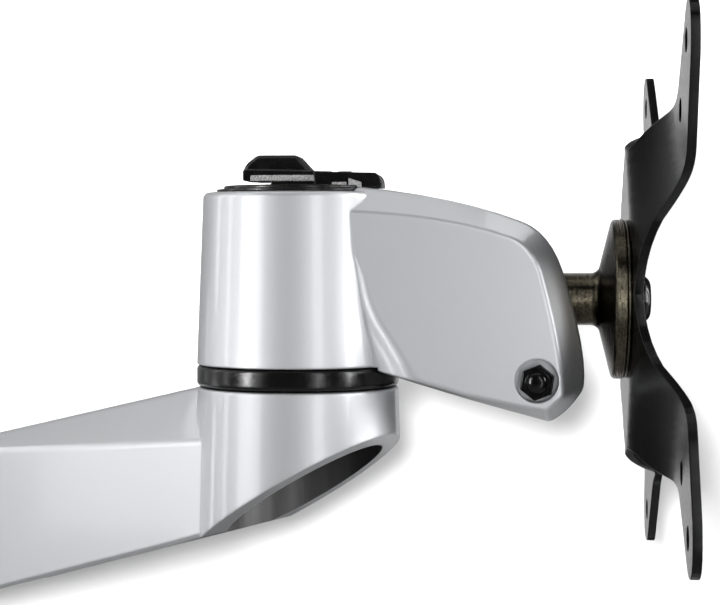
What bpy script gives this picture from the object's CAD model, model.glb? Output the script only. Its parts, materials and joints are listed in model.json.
"""Full motion wall mount for a flat screen: its visible pieces, finishes, light and camera.

Every piece is made in millimetres, in the local frame of the hub or arm that carries it. place()
then puts it in the object's own frame, in metres, from the places of the joints.
"""

import json
import math

import bmesh
import bpy
from mathutils import Matrix, Vector


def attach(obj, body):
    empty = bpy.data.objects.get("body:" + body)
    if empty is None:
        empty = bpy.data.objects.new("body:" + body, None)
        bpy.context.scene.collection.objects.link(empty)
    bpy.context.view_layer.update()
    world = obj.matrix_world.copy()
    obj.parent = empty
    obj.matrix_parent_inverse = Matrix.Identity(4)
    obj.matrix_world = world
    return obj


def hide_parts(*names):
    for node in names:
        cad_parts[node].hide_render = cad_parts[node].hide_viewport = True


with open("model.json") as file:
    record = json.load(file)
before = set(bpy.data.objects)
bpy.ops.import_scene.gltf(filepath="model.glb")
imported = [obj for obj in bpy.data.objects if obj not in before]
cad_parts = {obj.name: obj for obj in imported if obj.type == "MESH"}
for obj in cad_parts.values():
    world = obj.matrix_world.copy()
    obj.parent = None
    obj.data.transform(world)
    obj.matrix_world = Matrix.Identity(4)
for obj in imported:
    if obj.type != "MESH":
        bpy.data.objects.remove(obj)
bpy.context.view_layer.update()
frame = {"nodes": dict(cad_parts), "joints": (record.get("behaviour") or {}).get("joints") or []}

MM = 0.001
SIDES = 128          # sides of the hubs and other large rounds
FINE = 48            # sides of bolts and small rounds
SMOOTH_BELOW = math.radians(28)      # faces that meet at less are shaded as one
JOINTS = {joint["name"]: joint for joint in frame["joints"]}


# ---------------------------------------------------------------- where things are

def pivot(name):
    return Vector(JOINTS[name]["pos_m"])


def local_frame(origin, angle=0.0):
    """The matrix from millimetres at a hub or arm to the object's frame."""
    turn = Matrix.Rotation(angle, 4, "Z")
    return Matrix.Translation(origin) @ turn @ Matrix.Scale(MM, 4)


def heading(start, end):
    return math.atan2(end.y - start.y, end.x - start.x)


WALL, ELBOW, FRONT = pivot("wall_swivel"), pivot("elbow_swivel"), pivot("head_swivel")
LINK = (ELBOW - WALL).xy.length / MM
AT_WALL = Matrix.Scale(MM, 4)
AT_INNER = local_frame((WALL.x, WALL.y, 0), heading(WALL, ELBOW))
AT_OUTER = local_frame((ELBOW.x, ELBOW.y, 0), heading(ELBOW, FRONT))
AT_HEAD = local_frame(FRONT)
WALL_X = WALL.x / MM
LOW_DECK = WALL.z / MM           # height of the lower hubs' tops at the wall and the elbow
HIGH_DECK = FRONT.z / MM         # and at the head
TILT = (pivot("head_tilt") - FRONT) / MM
SHAFT = (pivot("plate_turn") - FRONT) / MM
HINGE = (pivot("latch_lift") - FRONT) / MM

RING_SPACE = 5.1                 # from a lower hub to the upper hub above it
UPPER_TOP = 43.9
UPPER_R = (22.9, 21.35)          # upper hub at its foot and at its top
WELL_R, WELL_FLOOR = 17.5, 13.1  # the well under a cap
CAP_R = WELL_R - 0.8
LOWER_R = 22.8
LOWER_DEPTH = 37
HOLLOW_R = 19.8                  # the hollow inside a lower hub
DECK_T = 8                       # what is left above that hollow
PIVOT_BORE = 8
CLEAR_R = 3.3                    # clearance hole of a 6 mm screw
ARM_HALF, ARM_WALL = 18.3, 3.5   # half of an arm's width, and the thickness of its sides
CHEEK = 17.3                     # half the width of the clevis over its flat faces


# ---------------------------------------------------------------- making solids

def chain(bm, points, closed=False):
    verts = [bm.verts.new(p) for p in points]
    for pair in zip(verts, verts[1:] + (verts[:1] if closed else [])):
        if len(set(pair)) == 2:
            bm.edges.new(pair)
    return verts


def round_corners(bm, verts, radii):
    """Rounds corners of a wire or a face; radii holds a radius for the index of each corner."""
    for index, radius in radii.items():
        bmesh.ops.bevel(bm, geom=[verts[index]], offset=radius, offset_type="OFFSET",
                        segments=5, profile=0.5, affect="VERTICES", material=-1)


def tidy(bm):
    bmesh.ops.remove_doubles(bm, verts=bm.verts, dist=1e-4)
    bmesh.ops.dissolve_degenerate(bm, dist=1e-5, edges=bm.edges)
    bmesh.ops.recalc_face_normals(bm, faces=bm.faces)
    return bm


def turned(profile, radii={}, sides=SIDES, closed=False):
    """A round solid about the Z axis from a profile of (radius, height) corners."""
    bm = bmesh.new()
    verts = chain(bm, [(r, 0, z) for r, z in profile], closed)
    round_corners(bm, verts, radii)
    bmesh.ops.spin(bm, geom=bm.verts[:] + bm.edges[:], cent=(0, 0, 0), axis=(0, 0, 1),
                   angle=2 * math.pi, steps=sides, use_merge=True)
    return tidy(bm)


def disc(r, z0, z1, sides=SIDES):
    return turned([(0, z0), (r, z0), (r, z1), (0, z1)], sides=sides)


def slab(outline, y0, y1, radii={}, edge=0, segments=3):
    """A flat solid from an outline in (x, z), between two places on the Y axis."""
    bm = bmesh.new()
    verts = chain(bm, [(x, y0, z) for x, z in outline], closed=True)
    round_corners(bm, verts, radii)
    face = bmesh.ops.contextual_create(bm, geom=bm.edges[:])["faces"]
    grown = bmesh.ops.extrude_face_region(bm, geom=face)["geom"]
    bmesh.ops.translate(bm, verts=[v for v in grown if isinstance(v, bmesh.types.BMVert)],
                        vec=(0, y1 - y0, 0))
    tidy(bm)
    if edge:
        soften(bm, edge, 50, segments)
    return bm


def loft(loops):
    """A closed solid through loops of as many points each."""
    bm = bmesh.new()
    rings = [chain(bm, loop, closed=True) for loop in loops]
    for a, b in zip(rings, rings[1:]):
        sides = [e for e in bm.edges if all(v in a for v in e.verts)
                 or all(v in b for v in e.verts)]
        bmesh.ops.bridge_loops(bm, edges=sides)
    for ring in (rings[0], rings[-1]):
        bmesh.ops.contextual_create(bm, geom=ring)
    return tidy(bm)


def soften(bm, radius, angle, segments=3, where=lambda edge: True):
    """Rounds the edges that are sharper than an angle."""
    sharp = [e for e in bm.edges if e.is_manifold and e.calc_face_angle() > math.radians(angle)
             and where(e)]
    bmesh.ops.bevel(bm, geom=sharp, offset=radius, offset_type="OFFSET", segments=segments,
                    profile=0.5, affect="EDGES", clamp_overlap=True, material=-1)
    return bm


def prism(r, sides, z0, z1, turn=0.0):
    bm = bmesh.new()
    bmesh.ops.create_cone(bm, cap_ends=True, segments=sides, radius1=r, radius2=r, depth=z1 - z0)
    bmesh.ops.rotate(bm, verts=bm.verts, matrix=Matrix.Rotation(turn, 3, "Z"))
    bmesh.ops.translate(bm, verts=bm.verts, vec=(0, 0, (z0 + z1) / 2))
    return bm


def block(low, high):
    bm = bmesh.new()
    size = Vector(high) - Vector(low)
    bmesh.ops.create_cube(bm, size=1)
    bmesh.ops.scale(bm, verts=bm.verts, vec=size)
    bmesh.ops.translate(bm, verts=bm.verts, vec=Vector(low) + size / 2)
    return bm


def moved(bm, offset=(0, 0, 0), axis=None, degrees=0):
    if axis:
        bmesh.ops.rotate(bm, verts=bm.verts, cent=(0, 0, 0),
                         matrix=Matrix.Rotation(math.radians(degrees), 3, axis))
    bmesh.ops.translate(bm, verts=bm.verts, vec=offset)
    return bm


def along_x(bm, offset=(0, 0, 0)):
    return moved(bm, offset, "Y", 90)


def along_y(bm, offset=(0, 0, 0)):
    return moved(bm, offset, "X", -90)


def bend(start, pull, end, steps=6):
    """Points of a smooth bend from start towards end, without its end."""
    at = [i / steps for i in range(steps)]
    return [tuple((1 - t) ** 2 * a + 2 * t * (1 - t) * b + t * t * c
                  for a, b, c in zip(start, pull, end)) for t in at]


def as_object(bm, name="tool"):
    mesh = bpy.data.meshes.new(name)
    bm.to_mesh(mesh)
    bm.free()
    made = bpy.data.objects.new(name, mesh)
    bpy.context.scene.collection.objects.link(made)
    return made


def boolean(body, operation, tools):
    body = as_object(body, "body")
    parts = [as_object(tool) for tool in tools]
    for part in parts:
        step = body.modifiers.new("step", "BOOLEAN")
        step.operation, step.solver, step.object = operation, "EXACT", part
    shown = body.evaluated_get(bpy.context.evaluated_depsgraph_get())
    bm = bmesh.new()
    bm.from_mesh(shown.to_mesh())
    for made in [body, *parts]:
        mesh = made.data
        bpy.data.objects.remove(made)
        bpy.data.meshes.remove(mesh)
    bmesh.ops.remove_doubles(bm, verts=bm.verts, dist=2e-4)
    bmesh.ops.dissolve_degenerate(bm, dist=1e-4, edges=bm.edges)
    return bm


def joined(body, *tools):
    return boolean(body, "UNION", tools)


def cut(body, *tools):
    return boolean(body, "DIFFERENCE", tools)


def gathered(*parts):
    """One mesh from several loose solids."""
    first, *others = parts
    for part in others:
        mesh = bpy.data.meshes.new("part")
        part.to_mesh(mesh)
        part.free()
        first.from_mesh(mesh)
        bpy.data.meshes.remove(mesh)
    return first


def place(name, bm, matrix, body, finish, replaces, inside=None):
    """Makes the finished piece: at its place, smooth between its sharp edges, on its body.

    inside holds a second finish, and the test for the places that it covers.
    """
    piece = as_object(bm, name)
    mesh = piece.data
    mesh.transform(matrix)
    mesh.shade_smooth()
    mesh.set_sharp_from_angle(angle=SMOOTH_BELOW)
    flat = piece.modifiers.new("flat_faces", "WEIGHTED_NORMAL")
    flat.keep_sharp = True
    mesh.materials.append(finish.material)
    if inside:
        second, test = inside
        mesh.materials.append(second.material)
        back = matrix.inverted()
        for face in mesh.polygons:
            face.material_index = int(test(back @ face.center))
    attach(piece, body)
    if replaces:
        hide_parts(*replaces)
    return piece


# ---------------------------------------------------------------- shader maths

class Value:
    """A number in a material, so that shader maths reads as plain expressions."""

    def __init__(self, shading, socket):
        self.shading, self.socket = shading, socket

    def maths(self, operation, *others):
        node = self.shading.node("ShaderNodeMath", {"operation": operation}, self, *others)
        return Value(self.shading, node.outputs[0])

    def __add__(self, other):
        return self.maths("ADD", other)

    def __sub__(self, other):
        return self.maths("SUBTRACT", other)

    def __rsub__(self, other):
        return self.maths("MULTIPLY", -1).maths("ADD", other)

    def __mul__(self, other):
        return self.maths("MULTIPLY", other)

    def __pow__(self, other):
        return self.maths("POWER", other)

    __radd__ = __add__
    __rmul__ = __mul__

    def within(self, low, high):
        """0 below low, 1 above high, and a smooth ramp between."""
        node = self.shading.node("ShaderNodeMapRange", {"interpolation_type": "SMOOTHSTEP"},
                                 self, low, high)
        return Value(self.shading, node.outputs[0])


class Shading:
    """The nodes of a material or of the world."""

    def __init__(self, owner):
        owner.use_nodes = True
        self.tree = owner.node_tree

    def node(self, kind, settings, *values, **named):
        """A node with its settings, and with values or links for its sockets."""
        made = self.tree.nodes.new(kind)
        for name, value in settings.items():
            setattr(made, name, value)
        sockets = list(zip(made.inputs, values))
        sockets += [(made.inputs[name.replace("_", " ")], value) for name, value in named.items()]
        for socket, value in sockets:
            self.link(value, socket)
        return made

    def link(self, value, socket):
        if isinstance(value, Value):
            value = value.socket
        if isinstance(value, bpy.types.Node):
            value = value.outputs[0]
        if isinstance(value, bpy.types.NodeSocket):
            self.tree.links.new(value, socket)
        elif value is not None:
            socket.default_value = value

    def mix(self, factor, dark, light):
        """A colour between two colours."""
        made = self.node("ShaderNodeMix", {"data_type": "RGBA"})
        for socket, value in zip((0, 6, 7), (factor, (*dark, 1), (*light, 1))):
            self.link(value, made.inputs[socket])
        return made.outputs[2]

    def value(self, kind, output):
        """One output of a node that has no inputs."""
        return Value(self, self.node(kind, {}).outputs[output])


class Finish(Shading):
    """A procedural surface finish for one of the record's material slots."""

    def __init__(self, name, slot, **constants):
        self.slot = slot
        self.material = bpy.data.materials.new(name)
        super().__init__(self.material)
        self.shader = self.tree.nodes["Principled BSDF"]
        for socket, value in constants.items():
            self.shader.inputs[socket.replace("_", " ")].default_value = value
        coordinates = self.node("ShaderNodeTexCoord", {})
        self.place = self.node("ShaderNodeMapping", {}, coordinates.outputs["Object"])

    def noise(self, scale, detail=2, rough=0.5, stretch=(1, 1, 1)):
        """Noise with about scale lumps to the metre."""
        where = self.place
        if stretch != (1, 1, 1):
            where = self.node("ShaderNodeMapping", {}, self.place, Scale=stretch)
        made = self.node("ShaderNodeTexNoise", {}, Vector=where, Scale=scale, Detail=detail,
                         Roughness=rough)
        return Value(self, made.outputs["Fac"])

    def paint(self, dark, light, factor):
        self.link(self.mix(factor, dark, light), self.shader.inputs["Base Color"])

    def roughness(self, value):
        self.link(value, self.shader.inputs["Roughness"])

    def edges(self, radius, low, high):
        """1 on sharp edges and 0 on the faces beside them."""
        soft = self.node("ShaderNodeBevel", {"samples": 6}, radius)
        true = self.node("ShaderNodeNewGeometry", {})
        turn = self.node("ShaderNodeVectorMath", {"operation": "DOT_PRODUCT"}, soft,
                         true.outputs["Normal"])
        return (1 - Value(self, turn.outputs["Value"])).within(low, high)

    def surface(self, height, depth, edge=0.0):
        """Bumps of a depth in metres, on edges rounded off by a radius in metres."""
        normal = None
        if edge:
            normal = self.node("ShaderNodeBevel", {"samples": 6}, edge)
        bump = self.node("ShaderNodeBump", {}, Strength=1.0, Distance=depth, Height=height,
                         Normal=normal)
        self.link(bump, self.shader.inputs["Normal"])


def silver_paint():
    paint = Finish("silver_paint", "silver_casting", Metallic=0.9, Coat_Weight=0.7,
                   Coat_Roughness=0.08)
    grain = paint.noise(5500, 1)
    cloud = paint.noise(60, 2)
    paint.paint((0.61, 0.62, 0.64), (0.69, 0.70, 0.72), grain * 0.8 + cloud * 0.2)
    paint.roughness(0.38 + 0.14 * grain)
    paint.surface(grain + paint.noise(1300, 2), 0.000004, edge=0.0007)
    return paint


def bored_metal():
    metal = Finish("bored_metal", "silver_casting", Metallic=0.6)
    streak = metal.noise(140, 3, stretch=(1, 1, 0.05))
    metal.paint((0.04, 0.04, 0.04), (0.18, 0.18, 0.18), streak ** 2)
    metal.roughness(0.5 - 0.2 * streak)
    metal.surface(metal.noise(500, 3, stretch=(1, 1, 0.1)), 0.0001)
    return metal


def ring_plastic():
    plastic = Finish("ring_plastic", "ring_plastic", Specular_IOR_Level=0.3)
    spark = plastic.noise(3000, 3, 0.6)
    plastic.paint((0.001, 0.001, 0.001), (0.004, 0.004, 0.004), spark)
    plastic.roughness(0.1 + 0.14 * plastic.noise(500))
    plastic.surface(spark.within(0.45, 0.75), 0.000008, edge=0.0003)
    return plastic


def black_plastic():
    plastic = Finish("black_plastic", "black_plastic", Specular_IOR_Level=0.3)
    grain = plastic.noise(2400, 2)
    thin = plastic.edges(0.0004, 0.02, 0.15)
    plastic.paint((0.001, 0.001, 0.001), (0.05, 0.05, 0.05), grain * 0.04 + thin * 0.96)
    plastic.roughness(0.18 + 0.18 * plastic.noise(400))
    plastic.surface(grain, 0.00001, edge=0.0003)
    return plastic


def dark_nickel():
    metal = Finish("dark_nickel", "dark_nickel", Metallic=1.0)
    grain = metal.noise(1800, 4, 0.7)
    mark = metal.noise(2600, 2, stretch=(1, 0.1, 0.1))
    tarnish = metal.noise(150, 3)
    metal.paint((0.010, 0.008, 0.005), (0.15, 0.135, 0.10),
                (grain * 0.6 + tarnish * 0.4).within(0.3, 0.75))
    metal.roughness(0.16 + 0.14 * grain)
    metal.surface(grain * 0.4 + mark, 0.00008, edge=0.0003)
    return metal


def powder_coat():
    coat = Finish("powder_coat", "black_powder_steel", Specular_IOR_Level=0.2)
    grain = coat.noise(3500, 2)
    coat.paint((0.001, 0.001, 0.001), (0.006, 0.006, 0.006), grain)
    coat.roughness(0.15 + 0.1 * coat.noise(700))
    coat.surface(grain + 0.5 * coat.noise(900), 0.000015, edge=0.00015)
    return coat


def black_oxide():
    metal = Finish("black_oxide", "black_steel", Metallic=0.6)
    wear = metal.noise(900, 3)
    metal.paint((0.003, 0.003, 0.003), (0.03, 0.03, 0.03), wear ** 3)
    metal.roughness(0.06 + 0.16 * wear)
    metal.surface(wear, 0.00001, edge=0.0002)
    return metal


def bright_zinc():
    metal = Finish("bright_zinc", "zinc_steel", Metallic=1.0)
    bloom = metal.noise(700, 3)
    metal.paint((0.42, 0.42, 0.40), (0.62, 0.62, 0.60), bloom)
    metal.roughness(0.2 + 0.25 * bloom)
    metal.surface(bloom, 0.00001, edge=0.0002)
    return metal


def grainy_zinc():
    metal = Finish("grainy_zinc", "zinc_steel", Metallic=0.9)
    grain = metal.noise(4200, 3, 0.7).within(0.32, 0.68)
    metal.paint((0.16, 0.16, 0.16), (0.9, 0.9, 0.89), grain)
    metal.roughness(0.3 + 0.3 * grain)
    metal.surface(grain, 0.00006, edge=0.0002)
    return metal


def natural_nylon():
    plastic = Finish("natural_nylon", "nylon", Subsurface_Weight=0.1)
    cloud = plastic.noise(600, 2)
    plastic.paint((0.66, 0.65, 0.60), (0.80, 0.79, 0.74), cloud)
    plastic.roughness(0.4 + 0.15 * cloud)
    plastic.surface(cloud, 0.00001)
    return plastic


SILVER, BORED, RING, PLASTIC = silver_paint(), bored_metal(), ring_plastic(), black_plastic()
NICKEL, POWDER, OXIDE = dark_nickel(), powder_coat(), black_oxide()
ZINC, GRAINY, NYLON = bright_zinc(), grainy_zinc(), natural_nylon()


# ---------------------------------------------------------------- hubs

def upper_hub(deck=0):
    foot, top = UPPER_R
    return turned([(0, deck + RING_SPACE), (foot, deck + RING_SPACE), (top, deck + UPPER_TOP),
                   (0, deck + UPPER_TOP)], {2: 1.3, 1: 0.4})


def upper_bores(deck=0):
    return [disc(WELL_R, deck + WELL_FLOOR, deck + UPPER_TOP + 5),
            disc(PIVOT_BORE, deck + RING_SPACE - 2, deck + WELL_FLOOR + 1.9, FINE)]


def lower_hub(deck):
    foot = deck - LOWER_DEPTH
    foot_r = LOWER_R + LOWER_DEPTH * math.tan(math.radians(2))
    return turned([(0, foot), (foot_r, foot), (LOWER_R, deck), (0, deck)], {2: 0.7, 1: 0.6})


def deck_bore(deck):
    return disc(PIVOT_BORE, deck - DECK_T - 2, deck + 2, FINE)


def lower_bores(deck):
    low, roof = deck - LOWER_DEPTH - 8, deck - DECK_T
    return [turned([(0, low), (HOLLOW_R, low), (HOLLOW_R, roof), (0, roof)], {2: 1.5}),
            deck_bore(deck)]


def thrust_ring(deck):
    low, high = deck + 0.25, deck + RING_SPACE - 0.25
    return turned([(5.5, low), (LOWER_R + 0.1, low), (LOWER_R + 0.1, high), (5.5, high)],
                  {2: 0.8, 1: 1.0}, closed=True)


def well_cap(deck, dish=0.0):
    """The plug in an upper hub's well, with a shallow dish in its face."""
    top = deck + UPPER_TOP
    face = top + 1.5
    profile = [(0, face - dish), (CAP_R - 2.6, face - dish), (CAP_R - 1.9, face), (CAP_R, face),
               (CAP_R, top + 0.8), (15.6, top + 0.8), (15.6, top - 6), (13.5, top - 6),
               (13.5, top + 0.1), (0, top + 0.1)]
    return turned(profile, {3: 0.45})


def gasket(deck):
    low, high = deck + UPPER_TOP + 0.1, deck + UPPER_TOP + 0.7
    return turned([(15.9, low), (WELL_R + 0.8, low), (WELL_R + 0.8, high), (15.9, high)],
                  {2: 0.2, 1: 0.2}, closed=True)


# ---------------------------------------------------------------- head

def clevis_rim():
    """The clevis seen from the side, at its widest outline, in (x, z)."""
    top = bend((14, 45), (36, 42.9), (50.5, 37.3))
    shoulder = bend((50.5, 37.3), (56.8, 34.9), (59.6, 26.2))
    front = bend((59.6, 26.2), (65.3, 8), (64.2, 0.5))
    chin = bend((64.2, 0.5), (61.5, -4.5), (56.7, -7))
    return top + shoulder + front + chin + [(56.7, -7), (49, -4.8), (38.1, -1.8), (14, 5.5)]


def clevis_face():
    """The smaller outline of its two flat faces, with as many points."""
    top = bend((9, 39.6), (34, 39), (48, 33.7))
    shoulder = bend((48, 33.7), (52.4, 32), (54.3, 26.6))
    front = bend((54.3, 26.6), (58.8, 10), (59.5, -0.8))
    chin = bend((59.5, -0.8), (57.6, -2.5), (55.7, -4.2))
    return top + shoulder + front + chin + [(55.7, -4.2), (49.8, -3.2), (38.1, -0.8), (14, 6.3)]


def scoop(side):
    """The tool that hollows a flat face of the clevis where it runs into the foot of the hub."""
    section = [(3, -0.02), (1.8, 0.08), (0.8, 0.32), (0, 0.7), (-0.8, 1.2), (-1.8, 1.8),
               (-2.8, 2.25), (-4.4, 2.7), (-12, 4.4)]      # along the face, and its depth there
    outside = CHEEK + 12.7
    loops = []
    for z, x, size in ((34, 12, 0.1), (31, 13.4, 0.12), (27.5, 14.8, 0.25), (24.5, 15.5, 0.4),
                       (21.5, 16, 0.54), (18.8, 16.7, 0.65), (15, 18.3, 0.79), (11.6, 20.4, 0.9),
                       (9, 21.9, 0.96), (6.8, 23.1, 1), (0, 27, 1.1)):
        hollow = [(x + size * along, side * (CHEEK - size * deep), z) for along, deep in section]
        loops.append([(x + size * 4, side * outside, z), *hollow,
                      (x - size * 12, side * outside, z)])
    return loft(loops)


def head_casting():
    rim, face = clevis_rim(), clevis_face()
    wing = loft([[(x, -CHEEK, z) for x, z in face], [(x, -12, z) for x, z in rim],
                 [(x, 12, z) for x, z in rim], [(x, CHEEK, z) for x, z in face]])
    soften(wing, 0.7, 18, 3)
    wing = cut(wing, scoop(-1), scoop(1))
    slot = slab([(36, -4), (36, 24), (41, 30), (75, 30), (75, -20), (48, -20)], -9.9, 9.9)
    spot = (TILT.x, 0, TILT.z)
    recess = [along_y(disc(4.8, low, high, 64), spot) for low, high in ((13.3, 30), (-30, -13.3))]
    body = joined(upper_hub(), wing)
    return cut(body, *upper_bores(), disc(LOWER_R + 0.9, -20, RING_SPACE),
               disc(WELL_R + 1.2, UPPER_TOP, UPPER_TOP + 5), slot,
               along_y(disc(2.3, -30, 30, FINE), spot), *recess)


place("head_shell", head_casting(), AT_HEAD, "head", SILVER, ["head_casting"])
place("head_ring", thrust_ring(0), AT_HEAD, "outer_arm", RING, ["head_pivot_ring"])
place("head_gasket", gasket(0), AT_HEAD, "head", PLASTIC, ["head_cap_gasket"])


LATCH_HALF = 8                   # half the width of the latch and of its seat
HINGE_R = 1.4
HINGE_HALF = 5.1                 # half the width of the latch's own part of the hinge


def head_cap():
    """The cap with the raised seat that carries the latch's hinge."""
    x, z, low = HINGE.x, HINGE.z, UPPER_TOP + 1
    seat = slab([(x + 1.9, low), (CAP_R + 2.8, low), (CAP_R + 2.8, low + 1.6), (CAP_R + 2, 48.05),
                 (x + 1.9, 48.2)], -LATCH_HALF, LATCH_HALF, {3: 0.9, 2: 0.8}, 0.35)
    ridge = slab([(-5.8, low), (5, low), (5, 46.35), (-5, 46.35)], -7.7, 7.7)
    parts = [seat, ridge]
    for side in (-1, 1):
        outer, inner = LATCH_HALF * side, 5.4 * side
        lug = turned([(0, -outer), (HINGE_R, -outer), (HINGE_R, -inner), (0, -inner)], {1: 0.25},
                     FINE)
        foot = [(x, low), (x + 2.5, low), (x + 2.5, z + HINGE_R), (x, z + HINGE_R)]
        cheek = [(4.6, low), (CAP_R + 2.8, low), (CAP_R + 2.7, low + 1.6), (CAP_R + 1.9, 48.15),
                 (4.3, 48.45)]
        parts += [along_y(lug, (x, 0, z)), slab(foot, inner, outer),
                  slab(cheek, 8.05 * side, 8.7 * side, {3: 0.9, 2: 0.8}, 0.2)]
    return gathered(well_cap(0), *parts)


def cable_latch():
    """A strip with a raised finger tab, and the middle of its hinge."""
    x, z = HINGE.x, HINGE.z
    strip = slab([(-11.6, 46.4), (x - 1.7, 46.4), (x - 1.7, 48.5), (-11.6, 48.9)],
                 -LATCH_HALF, LATCH_HALF, {0: 0.3, 3: 0.5}, 0.8, 2)
    tab = slab([(-11.6, 47.4), (4.8, 47.4), (0.4, 52.15), (-8.4, 52.15), (-11, 50.2),
                (-11.6, 48.7)], -6.9, 6.9, {2: 0.5, 3: 0.7, 4: 1.0}, 0.6, 1)
    knuckle = along_y(disc(HINGE_R, -HINGE_HALF, HINGE_HALF, FINE), (x, 0, z))
    web = slab([(x - 2.4, z - 0.3), (x, z - 0.3), (x, 48.1), (x - 2.4, 48.1)],
               -HINGE_HALF, HINGE_HALF)
    return gathered(strip, tab, knuckle, web)


def latch_spring():
    """The bright leaf that runs through the strip and shows along both of its sides."""
    return slab([(-9.9, 46.3), (4.6, 46.3), (4.6, 47.7), (-9.9, 47.7)], -8.06, 8.06,
                {3: 0.5}, 0.15)


def hinge_leaf():
    """The cast foot of the hinge, seen on both sides of the cap."""
    x, low, half = HINGE.x, UPPER_TOP + 0.9, 8.85
    foot = slab([(x - 1.8, low), (x + 1.6, low), (x + 1.6, 46.1), (x - 1.8, 46.1)], -half, half,
                {2: 0.3, 3: 0.3}, 0.2)
    wedge = slab([(x + 1.9, low), (x + 4.9, low), (x + 4.9, 46), (x + 1.9, 47)], -half, half,
                 edge=0.2)
    return gathered(foot, wedge)


place("head_cap_shell", head_cap(), AT_HEAD, "head", PLASTIC, ["head_cap"])
place("latch_tab", cable_latch(), AT_HEAD, "latch", PLASTIC, ["cable_latch"])
place("latch_leaf", latch_spring(), AT_HEAD, "latch", GRAINY, [])
place("hinge_foot", hinge_leaf(), AT_HEAD, "head", GRAINY, [])
place("latch_hinge_pin",
      along_y(turned([(0, -7.8), (0.7, -7.8), (0.7, 7.8), (0, 7.8)], {1: 0.2, 2: 0.2}, 24), HINGE),
      AT_HEAD, "head", ZINC, ["latch_pin"])


def domed_nut():
    """The black domed nut of the tilt pivot, pointing to the near side."""
    top = CHEEK - 0.5
    hexagon = prism(4.04, 6, 13.6, top - 0.3, math.radians(-9))
    soften(hexagon, 0.3, 40, 3)
    dome = turned([(0, top + 1.4), (1.2, top + 1.35), (2.2, top + 0.8), (2.7, top - 0.2),
                   (2.7, top - 1), (0, top - 1)], {1: 0.4, 2: 0.5, 3: 0.3}, FINE)
    return moved(gathered(hexagon, dome), (TILT.x + 0.1, 0, TILT.z - 0.4), "X", 90)


def tilt_bolt():
    profile = [(0, -16.6), (2, -16.6), (2, 13.6), (3.8, 13.6), (3.8, 15.4), (2.6, 16.4), (0, 16.4)]
    socket = prism(1.5, 6, 15, 20)
    return along_y(cut(turned(profile, {3: 0.2, 4: 0.6, 5: 0.4}, FINE), socket),
                   (TILT.x, 0, TILT.z))


place("tilt_dome_nut", domed_nut(), AT_HEAD, "head", OXIDE, ["tilt_nut"])
place("tilt_screw", tilt_bolt(), AT_HEAD, "head", OXIDE, ["tilt_bolt"])


def tilt_knuckle():
    """The lever in the clevis, its shaft and the conical flange."""
    lever = slab([(45, -5), (61.2, -5), (61.2, 24.5), (43, 24.5)], -8.5, 8.5,
                 {0: 7, 1: 7, 2: 6, 3: 6}, 0.8)
    shaft = along_x(turned([(0, 50), (5.9, 50), (5.9, 67.2), (6.9, 68.1), (17.5, 70.8),
                            (17.95, 71.3), (17.95, 73.5), (0, 73.5)],
                           {2: 1.0, 3: 0.6, 4: 0.4, 6: 0.3}), (0, 0, SHAFT.z))
    return cut(joined(lever, shaft), along_y(disc(3.4, -20, 20, FINE), (TILT.x, 0, TILT.z)),
               along_x(disc(CLEAR_R, 57, 90, FINE), (0, 0, SHAFT.z)))


place("knuckle", tilt_knuckle(), AT_HEAD, "tilt", NICKEL, ["tilt_knuckle"])
place("clamp_disc",
      along_x(turned([(CLEAR_R, 73.6), (17.8, 73.6), (17.8, 74.2), (CLEAR_R, 74.2)],
                     {1: 0.15, 2: 0.15}, closed=True), (0, 0, SHAFT.z)),
      AT_HEAD, "tilt", NICKEL, ["friction_disc"])


def plate_bolt():
    profile = [(0, 60), (3, 60), (3, 77.4), (5.3, 77.4), (5.3, 78.2), (4.1, 79.6), (0, 79.6)]
    return along_x(cut(turned(profile, {4: 0.3, 5: 0.9}, FINE), prism(2.3, 6, 78, 90)),
                   (0, 0, SHAFT.z))


place("plate_screw", plate_bolt(), AT_HEAD, "tilt", OXIDE, ["plate_bolt"])
place("plate_screw_washer",
      along_x(turned([(CLEAR_R, 76.4), (5.2, 76.4), (5.2, 77.3), (CLEAR_R, 77.3)], {2: 0.2},
                     FINE, closed=True), (0, 0, SHAFT.z)),
      AT_HEAD, "screen_plate", OXIDE, ["plate_washer"])


# ---------------------------------------------------------------- screen plate

PLATE_BACK, PLATE_T, PLATE_RISE = 74.3, 2.0, 8.5
NEAR_BEND = (17, math.radians(30))   # distance and slant of the line where the bend starts
FAR_BEND = (29, math.radians(45))    # the far arms start to bend later
BEND_END = (46.5, math.radians(55))  # the crease where it ends on all four arms
PLATE_TURN = -4.4                # degrees about the shaft
PLATE_EDGE = 0.2                 # rounding of its edges
SCREEN_HOLES = (37.5, 50)        # half of the 75 and the 100 mm hole square
SCREEN_HOLE_R = 2.5
GRID = 3                         # the blank is cut into squares of this size before it is bent


def plate_quarter():
    """The outline of one arm of the plate, from the Y axis to the Z axis."""
    side = bend((21, 0), (21.5, 10), (29, 15.4), 5) + bend((29, 15.4), (37, 19), (44.5, 22.8), 2)
    waist = bend((44.5, 22.8), (49.3, 25), (52, 31), 5) + bend((52, 31), (55, 38), (58.8, 46), 2)
    tip = bend((58.8, 46), (60.8, 56.5), (53.5, 57.9), 7) + bend((53.5, 57.9), (50.2, 58.4),
                                                                 (47.2, 55.6), 4)
    inner = bend((47.2, 55.6), (40, 49.2), (33.3, 43.3), 2) + bend((33.3, 43.3), (30, 40.8),
                                                                   (22, 39.7), 5)
    notch = bend((22, 39.7), (12, 38.6), (7, 35.7), 5) + bend((7, 35.7), (3.5, 33.6), (0, 33.6), 5)
    return side + waist + tip + inner + notch


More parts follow.
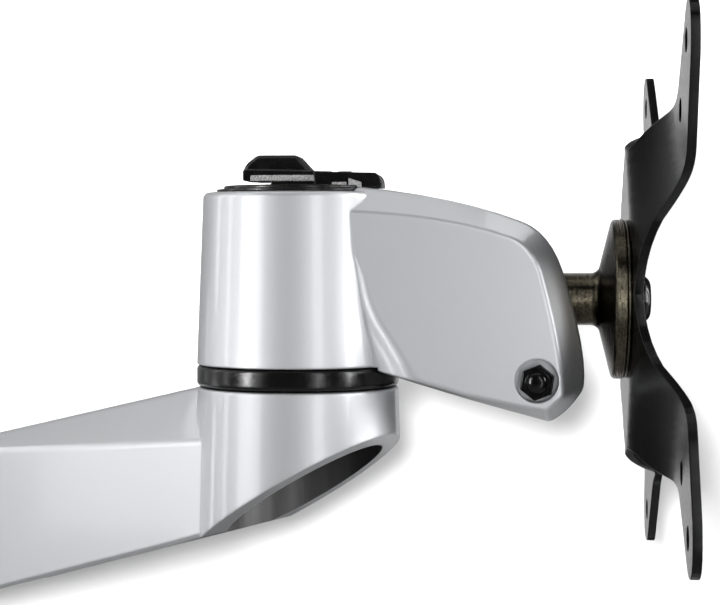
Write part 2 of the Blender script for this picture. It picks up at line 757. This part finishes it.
def plate_rise(y, z):
    """How far the plate is bent forward at a place on the blank."""
    def beyond(line):
        distance, slant = line
        return math.cos(slant) * abs(y) + math.sin(slant) * abs(z) - distance

    past, over = max(beyond(FAR_BEND if y > 0 else NEAR_BEND), 0), beyond(BEND_END)
    # 0 where the bend starts, 1 at the crease that ends it, and more on the flat tip
    share = past / (past - over) if over < 0 else 1 + over / 30
    gentle_start = 1 - 0.6 * max(1 - share, 0) ** 3
    sloped = PLATE_RISE * share * gentle_start
    near_crease = max(1 - abs(sloped - PLATE_RISE) / 1.4, 0)
    return min(sloped, PLATE_RISE) - 0.35 * near_crease ** 2


def circle(y, z, r, sides=40):
    turns = [2 * math.pi * i / sides for i in range(sides)]
    return [(y + r * math.cos(a), z + r * math.sin(a)) for a in turns]


def plate_blank():
    """The flat sheet with its holes, lying in the XY plane."""
    quarter = plate_quarter()
    outline = quarter + [(0, 33.6)] + [(-y, z) for y, z in reversed(quarter)]
    lower = [(y, -z) for y, z in outline[1:-1]]
    flat = bpy.data.curves.new("blank", "CURVE")
    flat.dimensions, flat.fill_mode = "2D", "BOTH"
    flat.extrude, flat.bevel_depth, flat.bevel_resolution = PLATE_T / 2 - PLATE_EDGE, PLATE_EDGE, 2
    flat.offset = -PLATE_EDGE
    holes = [circle(y * at, z * at, SCREEN_HOLE_R)
             for at in SCREEN_HOLES for y in (-1, 1) for z in (-1, 1)]
    for points in [outline + list(reversed(lower)), *holes, circle(0, 0, CLEAR_R)]:
        spline = flat.splines.new("POLY")
        spline.points.add(len(points) - 1)
        spline.use_cyclic_u = True
        for point, (y, z) in zip(spline.points, points):
            point.co = (y, z, 0, 1)
    blank = bpy.data.objects.new("blank", flat)
    bpy.context.scene.collection.objects.link(blank)
    bpy.context.view_layer.update()
    bm = bmesh.new()
    bm.from_mesh(blank.evaluated_get(bpy.context.evaluated_depsgraph_get()).to_mesh())
    bpy.data.objects.remove(blank)
    bmesh.ops.remove_doubles(bm, verts=bm.verts, dist=1e-4)
    return bm


def screen_plate():
    """The blank, cut into a fine grid and bent forward."""
    bm = plate_blank()
    crease, slant = BEND_END
    cuts = [(Vector(axis), at) for at in range(-60, 61, GRID) for axis in ((1, 0, 0), (0, 1, 0))]
    cuts += [(Vector((math.cos(slant), side * math.sin(slant), 0)), at)
             for side in (-1, 1) for at in (-crease, crease)]
    for across, at in cuts:
        bmesh.ops.bisect_plane(bm, geom=bm.verts[:] + bm.edges[:] + bm.faces[:],
                               plane_co=across * at, plane_no=across)
    for vert in bm.verts:
        y, z, x = vert.co
        vert.co = (PLATE_BACK + PLATE_T / 2 + x + plate_rise(y, z), y, z)
    bmesh.ops.recalc_face_normals(bm, faces=bm.faces)
    return moved(bm, (0, 0, SHAFT.z), "X", PLATE_TURN)


place("bent_plate", screen_plate(), AT_HEAD, "screen_plate", POWDER, ["screen_plate"])


# ---------------------------------------------------------------- arms

def faceted_bar(stations, draft=0.0, edge=1.0):
    """A bar with a broad facet along each top edge. A station is (x, half width, bottom, facet,
    top, half width of the top)."""
    loops = []
    for x, half, bottom, facet, top, top_half in stations:
        right = [(half + draft, bottom), (half, facet), (top_half, top)]
        loops.append([(x, y, z) for y, z in right] + [(x, -y, z) for y, z in reversed(right)])
    return soften(loft(loops), edge, 20, 4, lambda e: abs(e.verts[0].co.x - e.verts[1].co.x) > 1)


def pocket(x0, x1, low, roof):
    """The tool for a hollow under an arm, with sides that draw in upwards."""
    half = ARM_HALF - ARM_WALL
    tool = loft([[(x, half, low), (x, -half, low), (x, 1.5 - half, roof), (x, half - 1.5, roof)]
                 for x in (x0, x1)])
    return soften(tool, 1.5, 30, 3)


def inner_arm():
    deck = LOW_DECK
    section = (ARM_HALF, deck + 6.5, deck + 31, deck + 40, 9)
    waist = (ARM_HALF - 0.8, deck + 7.5, deck + 30, deck + 38.5, 12)
    bar = faceted_bar([(0, *section), (LINK / 2, *waist), (LINK, *section)])
    far = [moved(tool, (LINK, 0, 0)) for tool in [upper_hub(deck), *upper_bores(deck)]]
    return cut(joined(bar, upper_hub(deck), far[0]), *upper_bores(deck), *far[1:],
               pocket(27, LINK / 2 - 2, deck, deck + 27),
               pocket(LINK / 2 + 2, LINK - 27, deck, deck + 27))


FRONT_HOLLOW_R = 17.7
SLANT, DROP = 0.627, 24.6        # slope of the cut under the front hub, and how far below the
                                 # hub's top it crosses the pivot
CREASE = LINK - 13.6             # where the arm's underside meets the front hub


def under(x):
    """Height of the slanted cut at a place along the outer arm."""
    return HIGH_DECK - DROP + SLANT * (x - LINK)


def outer_arm():
    low, half = LOW_DECK - LOWER_DEPTH, ARM_HALF
    bar = faceted_bar([
        (0, half, low, -16, LOW_DECK, 13), (62, half, low, -14.5, LOW_DECK, 14),
        (88, half, -42.7, -7.4, -4.5, 12.8), (147.5, half, -25.7, -2.4, 9.4, 8),
        (CREASE, half, under(CREASE), -1.7, HIGH_DECK - 0.1, 7),
        (LINK, half, under(CREASE), -0.6, HIGH_DECK - 0.1, 6)], draft=0.8)
    wedge = slab([(CREASE, under(CREASE)), (210, under(210)), (210, -90), (CREASE, -90)], -40, 40)
    level = block((100, -40, -90), (CREASE, 40, under(CREASE)))
    front = cut(moved(lower_hub(HIGH_DECK), (LINK, 0, 0)), level)
    bores = [moved(disc(FRONT_HOLLOW_R, -60, HIGH_DECK - DECK_T), (LINK + 0.9, 1.4, 0)),
             moved(deck_bore(HIGH_DECK), (LINK, 0, 0))]
    return cut(joined(bar, lower_hub(LOW_DECK), front), wedge, *lower_bores(LOW_DECK), *bores,
               pocket(30, 78, low - 5, -18), pocket(82, 142, low - 5, -14))


def in_front_hollow(point):
    reach = math.hypot(point.x - LINK, point.y)
    return reach < FRONT_HOLLOW_R + 2.2 and under(point.x) + 0.5 < point.z < HIGH_DECK - 1


place("inner_arm_casting", inner_arm(), AT_INNER, "inner_arm", SILVER, ["inner_arm"])
place("outer_arm_casting", outer_arm(), AT_OUTER, "outer_arm", SILVER, ["outer_arm"],
      inside=(BORED, in_front_hollow))

for name, at, lower in (("wall", AT_INNER, "wall"), ("elbow", AT_OUTER, "outer_arm")):
    place(f"{name}_ring", thrust_ring(LOW_DECK), at, lower, RING, [f"{name}_pivot_ring"])
    place(f"{name}_cap", well_cap(LOW_DECK, dish=0.6), at, "inner_arm", PLASTIC,
          [f"{name}_pivot_cap"])
    place(f"{name}_gasket", gasket(LOW_DECK), at, "inner_arm", PLASTIC, [f"{name}_pivot_gasket"])


# ---------------------------------------------------------------- wall side

WALL_T = 4.0                     # thickness of the wall plate
WALL_HALF, WALL_REACH = 35, 95   # half its width and half its height
PAD_BACK, PAD_FACE = 4.3, 10.3
SCREW_Y, SCREW_Z = 21, 39        # places of the bracket screws


def oblong(half, reach, z=0):
    return [(-half, z - reach), (half, z - reach), (half, z + reach), (-half, z + reach)]


def wall_plate():
    """The steel plate that is screwed to the wall, with its slots and holes."""
    plate = slab(oblong(WALL_HALF, WALL_REACH), -WALL_T, 0, {0: 8, 1: 8, 2: 8, 3: 8}, 0.5)
    tools = []
    for side in (-1, 1):
        tools.append(slab(oblong(4.25, 8.25, 76 * side), -9, 5,
                          {0: 4.24, 1: 4.24, 2: 4.24, 3: 4.24}))
        for y in (-1, 1):
            tools.append(along_y(disc(2.6, -9, 5, FINE), (24 * y, 0, 64 * side)))
            tools.append(along_y(disc(CLEAR_R, -9, 5, FINE), (SCREW_Y * y, 0, SCREW_Z * side)))
    return moved(cut(plate, *tools), axis="Z", degrees=90)


def wall_bracket():
    """The casting that carries the wall pivot."""
    pad = slab(oblong(29, 48), -PAD_FACE, -PAD_BACK, {0: 6, 1: 6, 2: 6, 3: 6}, 0.8)
    holes = [along_y(disc(CLEAR_R, -20, 5, FINE), (SCREW_Y * y, 0, SCREW_Z * z))
             for y in (-1, 1) for z in (-1, 1)]
    pad = moved(cut(pad, *holes), axis="Z", degrees=90)
    half, low = ARM_HALF - 3, LOW_DECK - LOWER_DEPTH + 1
    loops = [[(x, half, low), (x, half, high - 6), (x, half - 6, high), (x, 6 - half, high),
              (x, -half, high - 6), (x, -half, low)]
             for x, high in ((PAD_FACE - 1, 27), (22, LOW_DECK - 0.1), (WALL_X, LOW_DECK - 0.1))]
    neck = soften(loft(loops), 1.0, 20, 3, lambda e: abs(e.verts[0].co.x - e.verts[1].co.x) > 1)
    hub = moved(lower_hub(LOW_DECK), (WALL_X, 0, 0))
    bores = [moved(tool, (WALL_X, 0, 0)) for tool in lower_bores(LOW_DECK)]
    return cut(joined(pad, neck, hub), *bores)


def bracket_screw(y, z):
    profile = [(0, 0.8), (3, 0.8), (3, 10.6), (5.5, 10.6), (5.5, 12.4), (3.8, 14.1), (0, 14.1)]
    screw = cut(turned(profile, {4: 0.3, 5: 1.0}, FINE), prism(2.4, 6, 12, 20))
    return along_x(screw, (0, y, z))


def wall_cover(side):
    """A shell over one end of the wall plate."""
    outer = slab([(-37.5, 45), (37.5, 45), (37.5, 97.5), (-37.5, 97.5)], -13, -0.3,
                 {2: 10, 3: 10}, 2.0, 4)
    inner = slab([(-35.3, 20), (35.3, 20), (35.3, 95.3), (-35.3, 95.3)], -10.8, 5,
                 {2: 8, 3: 8})
    keep = block((-60, -30, 51), (60, 30, 120))
    shell = moved(boolean(cut(outer, inner), "INTERSECT", [keep]), axis="Z", degrees=90)
    return shell if side > 0 else moved(shell, axis="X", degrees=180)


place("wall_plate_steel", wall_plate(), AT_WALL, "wall", POWDER, ["wall_plate"])
place("wall_bracket_casting", wall_bracket(), AT_WALL, "wall", SILVER, ["wall_bracket"])
for number, (y, z) in enumerate([(1, 1), (-1, 1), (-1, -1), (1, -1)], 1):
    place(f"bracket_screw_shaped_{number}", bracket_screw(SCREW_Y * y, SCREW_Z * z), AT_WALL,
          "wall", OXIDE, [f"bracket_screw_{number}"])
place("cover_shell_upper", wall_cover(1), AT_WALL, "wall", PLASTIC, ["wall_cover_upper"])
place("cover_shell_lower", wall_cover(-1), AT_WALL, "wall", PLASTIC, ["wall_cover_lower"])


# ---------------------------------------------------------------- hardware from the frame

for name, node in frame["nodes"].items():
    if node.hide_render:
        continue
    finish = NYLON if "bush" in name else OXIDE if "nut" in name else ZINC
    node.data.materials.clear()
    node.data.materials.append(finish.material)


# ---------------------------------------------------------------- floor, backdrop, light, camera

def stage_material(name, white, glow, heights=None):
    """White that keeps shadows: a plain surface, with a glow that only the camera sees, and that
    may start between two heights."""
    made = bpy.data.materials.new(name)
    shading = Shading(made)
    shading.tree.nodes.clear()
    level = shading.value("ShaderNodeLightPath", "Is Camera Ray") * glow
    if heights:
        where = shading.value("ShaderNodeTexCoord", "Object")
        split = shading.node("ShaderNodeSeparateXYZ", {}, where)
        level = level * Value(shading, split.outputs["Z"]).within(*heights)
    paper = shading.node("ShaderNodeBsdfDiffuse", {}, (white, white, white, 1))
    light = shading.node("ShaderNodeEmission", {}, Strength=level)
    both = shading.node("ShaderNodeAddShader", {}, paper, light)
    behind = shading.value("ShaderNodeNewGeometry", "Backfacing")
    clear = shading.node("ShaderNodeBsdfTransparent", {})
    shown = shading.node("ShaderNodeMixShader", {}, behind, both, clear)
    shading.node("ShaderNodeOutputMaterial", {}, shown)
    return made


def sheet(name, corners, material):
    """A flat sheet of the stage."""
    bm = bmesh.new()
    bm.faces.new([bm.verts.new(c) for c in corners])
    made = as_object(bm, name)
    made.data.materials.append(material)
    return made


def card(name, corners, white):
    """A sheet that only reflections see, so that bright paper does not wash the finishes out."""
    made = sheet(name, corners, stage_material(name, white, 0.0))
    made.visible_camera = made.visible_diffuse = made.visible_shadow = False


def level_corners(x0, x1, y0, y1, z):
    return [(x0, y0, z), (x1, y0, z), (x1, y1, z), (x0, y1, z)]


def upright_corners(x0, x1, y, z0, z1):
    return [(x0, y, z0), (x1, y, z0), (x1, y, z1), (x0, y, z1)]


BACK_Y, FLOOR_Z = 0.112, -0.13
CARD_Y, CARD_Z = BACK_Y - 0.004, FLOOR_Z + 0.004

backdrop = sheet("backdrop",
                 upright_corners(FRONT.x - 0.115, FRONT.x + 0.13, BACK_Y, FRONT.z - 0.09,
                                 FRONT.z + 0.12),
                 stage_material("backdrop_paper", 0.6, 0.45, (FRONT.z - 0.010, FRONT.z + 0.008)))
sheet("floor", level_corners(-1.5, 2.2, -2.0, 1.2, FLOOR_Z), stage_material("floor_paper", 0.5, 0.7))

STRIPS = [(-1000, 0.45), (-40, 0.04), (5, 0.12), (30, 0.4), (45, 0.8), (56, 1.0), (80, 0.3),
          (88, 0.02), (1300, 0)]     # left edge from the head, in millimetres, and whiteness
for number, ((left, white), (right, _)) in enumerate(zip(STRIPS, STRIPS[1:]), 1):
    card(f"card_{number}", upright_corners(FRONT.x + left * MM, FRONT.x + right * MM, CARD_Y,
                                           FLOOR_Z, 0.7), white)
card("floor_card", level_corners(-1.0, 1.6, -1.5, BACK_Y, CARD_Z), 0.35)


def lamp(name, side, height, size, radiance, distance=1.0):
    """A soft box aimed at the head, at an angle to the side of straight ahead and above level."""
    data = bpy.data.lights.new(name, "AREA")
    data.shape, data.size, data.size_y = "RECTANGLE", size[0], size[1]
    data.energy = radiance * math.pi * size[0] * size[1]
    made = bpy.data.objects.new(name, data)
    bpy.context.scene.collection.objects.link(made)
    a, e = math.radians(side), math.radians(height)
    out = Vector((math.sin(a) * math.cos(e), -math.cos(a) * math.cos(e), math.sin(e)))
    made.location = FRONT + Vector((0, 0, 0.02)) + out * distance
    made.rotation_mode = "QUATERNION"
    made.rotation_quaternion = out.to_track_quat("Z", "Y")
    made.visible_camera = False
    return made


def light_only(lamp_object, pieces):
    """Keeps a lamp to a few pieces."""
    lit = bpy.data.collections.new("lit_by_" + lamp_object.name)
    for piece in pieces:
        lit.objects.link(piece)
    lamp_object.light_linking.receiver_collection = lit


def pieces_with(*finishes):
    materials = {finish.material for finish in finishes}
    return [made for made in bpy.data.objects if made.type == "MESH"
            and materials & {slot.material for slot in made.material_slots}]


dark = pieces_with(RING, PLASTIC, OXIDE)
coated = pieces_with(POWDER)
bright = [made for made in bpy.data.objects if made.type == "MESH"
          and made not in dark + coated]
light_only(lamp("front_fill", -4, 5, (0.9, 1.2), 0.5), bright)
lamp("soft_box_left", -51, 5, (0.5, 1.18), 2.9)
lamp("strip_left", -84, 5, (0.17, 1.2), 3.5)
lamp("strip_far_left", -102, 5, (0.045, 0.5), 3.2, 0.43)
lamp("soft_box_right", 27, 8, (0.063, 0.36), 2.9, 0.3)
lamp("strip_right", 66, 5, (0.16, 1.2), 8)
lamp("strip_side", 84, 5, (0.14, 1.2), 15)
lamp("strip_far_right", 98, 5, (0.1, 1.0), 20, 0.7)
lamp("soft_box_top", 5, 82, (0.8, 0.6), 0.85)
lamp("soft_box_high_left", -98, 57, (0.24, 0.24), 2.2, 0.6)
lamp("soft_box_high_right", 110, 58, (0.18, 0.18), 2.6, 0.5)
light_only(lamp("glint_far_left", -103, 3, (0.02, 0.5), 6, 0.43), dark)
light_only(lamp("glint_left", -54, 3, (0.08, 0.9), 70), dark)
light_only(lamp("glint_middle", 29, 3, (0.05, 0.9), 9), dark)
light_only(lamp("glint_right", 66, 3, (0.06, 0.9), 45), dark)
light_only(lamp("glint_front", 7, -2, (0.1, 0.35), 9), pieces_with(NICKEL))
light_only(lamp("fold_light", -55, -24, (0.1, 0.08), 3.6, 0.22), [bpy.data.objects["head_shell"]])
light_only(lamp("hub_light", 74, -30, (0.03, 0.02), 1.8, 0.068),
           [bpy.data.objects["outer_arm_casting"]])

EYE = Vector((41.9101, -456.517, 34.3679))       # the camera, in the head's frame
YAW, PITCH, ROLL = 0.0607, -0.0337, -0.0009
SENSOR, LENS = 36, 100.75434                     # in millimetres

shadow_light = bpy.data.lights.new("shadow_lamp", "AREA")
shadow_light.shape, shadow_light.size, shadow_light.energy = "DISK", 0.046, 5.6
shadow_lamp = bpy.data.objects.new("shadow_lamp", shadow_light)
bpy.context.scene.collection.objects.link(shadow_lamp)
shadow_lamp.location = AT_HEAD @ (EYE + Vector((-19, 0, 20)))
shadow_lamp.rotation_euler = (math.pi / 2 + PITCH, 0, YAW)
shadow_lamp.visible_camera = shadow_lamp.visible_glossy = False
light_only(shadow_lamp, [backdrop])

world = bpy.data.worlds.new("studio")
bpy.context.scene.world = world
sky = Shading(world)
seen = sky.value("ShaderNodeLightPath", "Is Camera Ray")
sky.link(sky.mix(seen, (0.04, 0.04, 0.04), (1, 1, 1)), sky.tree.nodes["Background"].inputs["Color"])

view = bpy.data.cameras.new("camera")
view.sensor_width, view.lens = SENSOR, LENS
camera = bpy.data.objects.new("camera", view)
bpy.context.scene.collection.objects.link(camera)
look = (Matrix.Rotation(YAW, 4, "Z") @ Matrix.Rotation(math.pi / 2 + PITCH, 4, "X")
        @ Matrix.Rotation(ROLL, 4, "Z"))
camera.matrix_world = Matrix.Translation(AT_HEAD @ EYE) @ look
bpy.context.scene.camera = camera
bpy.context.scene.view_settings.view_transform = "Standard"
